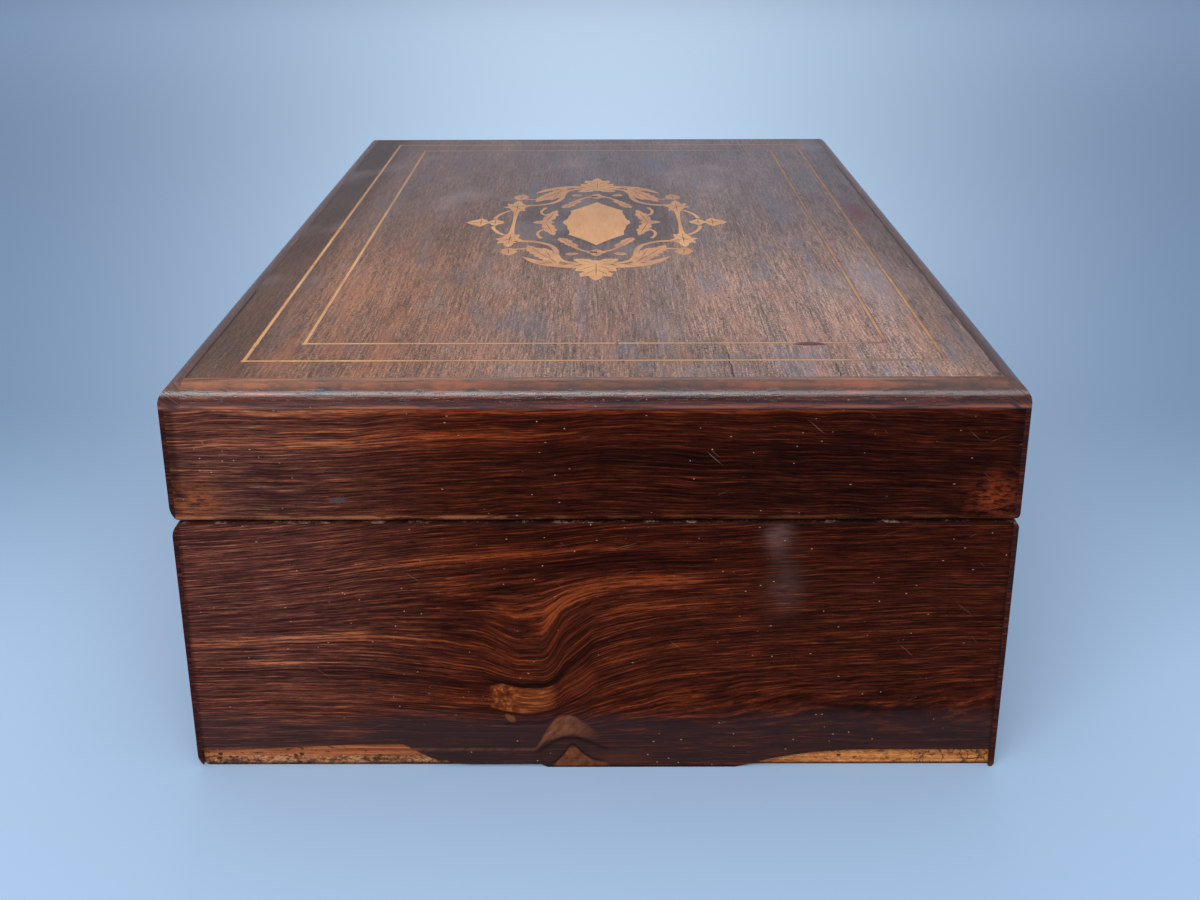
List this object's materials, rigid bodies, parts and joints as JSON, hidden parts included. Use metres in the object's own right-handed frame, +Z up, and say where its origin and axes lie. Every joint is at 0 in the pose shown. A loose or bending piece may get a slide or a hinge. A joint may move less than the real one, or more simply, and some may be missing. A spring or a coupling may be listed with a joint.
{
  "type": "jewelry box",
  "caption": "Rectangular marquetry jewelry box with a hinged lid, rounded lipping, boxwood stringing, an inlaid cartouche, a lock and a lined inside with a lift-out tray.",
  "frame": {"origin": "middle of the underside, on the surface the box stands on", "axes": "+X along the length towards the end with the lost veneer, +Y across the width towards the hinges, +Z up"},
  "size_m": [0.305, 0.2134, 0.1085],
  "materials": {
    "rosewood": "worn french polish over straight brown and black grain",
    "top_veneer": "faded and greyed polish, satin",
    "lipping_wood": "worn, warm orange brown",
    "boxwood": "yellow boxwood with dark engraved lines",
    "carcass_wood": "bare softwood with worm holes where it shows",
    "rim_wood": "plain brown edge strips",
    "hinge_brass": "dulled brass",
    "lock_brass": "dulled brass",
    "lock_steel": "darkened steel",
    "lining_cloth": "dark red velvet",
    "tray_wood": "thin polished wood",
    "satin": "faded red satin",
    "ribbon": "red ribbon"
  },
  "bodies": {
    "base": {"base_back_board": "carcass_wood", "base_back_veneer": "rosewood", "base_floor_lining": "lining_cloth", "base_front_board": "carcass_wood", "base_front_veneer": "rosewood", "base_left_board": "carcass_wood", "base_left_veneer": "rosewood", "base_right_board": "carcass_wood", "base_right_veneer": "rosewood", "base_rim": "rim_wood", "base_screws": "hinge_brass", "base_wall_lining": "lining_cloth", "bottom_board": "carcass_wood", "escutcheon": "lock_brass", "hinge_base_leaves": "hinge_brass", "hinge_pins": "hinge_brass", "lock_case": "lock_brass", "tray_rests": "tray_wood"},
    "lid": {"cartouche_bars": "boxwood", "cartouche_finials": "boxwood", "cartouche_palmettes": "boxwood", "cartouche_scrolls": "boxwood", "cartouche_shield": "boxwood", "cartouche_sprigs": "boxwood", "cartouche_swags": "boxwood", "field_veneer": "top_veneer", "hinge_lid_leaves": "hinge_brass", "inner_band_veneer": "top_veneer", "inner_stringing": "boxwood", "lid_back_board": "carcass_wood", "lid_back_veneer": "rosewood", "lid_front_board": "carcass_wood", "lid_front_veneer": "rosewood", "lid_left_board": "carcass_wood", "lid_left_veneer": "rosewood", "lid_pad": "satin", "lid_right_board": "carcass_wood", "lid_right_veneer": "rosewood", "lid_rim": "rim_wood", "lid_screws": "hinge_brass", "lid_top_board": "carcass_wood", "lid_wall_lining": "lining_cloth", "lipping_back": "lipping_wood", "lipping_front": "lipping_wood", "lipping_left": "lipping_wood", "lipping_right": "lipping_wood", "lock_link_plate": "lock_brass", "outer_band_veneer": "top_veneer", "outer_stringing": "boxwood"},
    "tray": {"tray_back": "tray_wood", "tray_back_dividers": "tray_wood", "tray_bottom": "tray_wood", "tray_front": "tray_wood", "tray_front_divider": "tray_wood", "tray_left": "tray_wood", "tray_long_divider": "tray_wood", "tray_pads": "satin", "tray_pulls": "ribbon", "tray_right": "tray_wood"},
    "lock_bolt": {"lock_bolt": "lock_steel"}
  },
  "joints": [
    {"name": "lid_hinge", "type": "hinge", "parent": "base", "child": "lid", "pos_m": [0, 0.1056, 0.07225], "axis": [-1, 0, 0], "range_deg": [0, 100]},
    {"name": "lock_bolt_slide", "type": "slide", "parent": "base", "child": "lock_bolt", "axis": [1, 0, 0], "range_m": [0, 0.0035]},
    {"name": "tray_lift", "type": "slide", "parent": "base", "child": "tray", "axis": [0, 0, 1], "range_m": [0, 0.02]}
  ]
}
